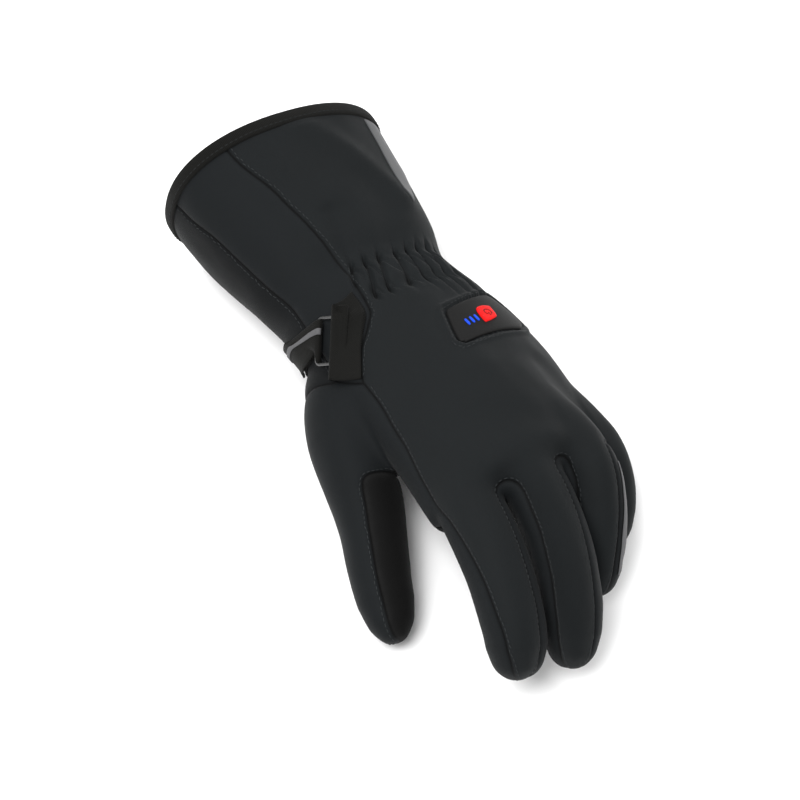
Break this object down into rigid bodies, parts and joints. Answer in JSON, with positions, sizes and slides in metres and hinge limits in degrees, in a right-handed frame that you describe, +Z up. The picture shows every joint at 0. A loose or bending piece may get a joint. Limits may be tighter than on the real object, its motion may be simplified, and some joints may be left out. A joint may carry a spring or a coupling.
{
  "type": "heated glove",
  "caption": "Left-hand heated gauntlet glove, hollow, with curved fingers, bound hem, wrist strap and ring, and a control pad with a power button and level lights.",
  "frame": {"origin": "on the surface that the glove lies on, under the middle of its bounding box", "axes": "+Z up, out of the back of the hand; +Y along the glove to the cuff's mouth, the fingers towards -Y; the thumb towards -X"},
  "size_m": [0.159, 0.3272, 0.0873],
  "materials": {
    "softshell_back": "dark grey woven softshell, padded",
    "softshell_side": "dark grey woven softshell, padded",
    "softshell_under": "slightly lighter grey softshell",
    "suede_palm": "black suede-like palm leather",
    "softshell_gusset": "dark softshell between the fingers",
    "knit_binding": "black ribbed binding tape",
    "webbing": "black woven webbing",
    "reflective": "grey retroreflective film",
    "ring_metal": "black lacquered wire",
    "pad_rubber": "matt black moulded rubber",
    "button_red": "red translucent button membrane",
    "light_blue": "blue level light window"
  },
  "bodies": {
    "root": {"back_panel": "softshell_back", "cuff_side_panel": "softshell_side", "cuff_under_panel": "softshell_under", "thumb_side_panel": "softshell_side", "thumb_inner_panel": "suede_palm", "palm_panel": "suede_palm", "fourchette_index": "softshell_gusset", "fourchette_middle": "softshell_gusset", "fourchette_ring": "softshell_gusset", "hem_binding": "knit_binding", "strap_tab": "webbing", "strap": "webbing", "strap_reflector": "reflective", "buckle_ring": "ring_metal", "control_pad": "pad_rubber", "power_button": "button_red", "level_light_1": "light_blue", "level_light_2": "light_blue", "level_light_3": "light_blue", "finger_reflector": "reflective", "cuff_reflector": "reflective"}
  },
  "joints": []
}
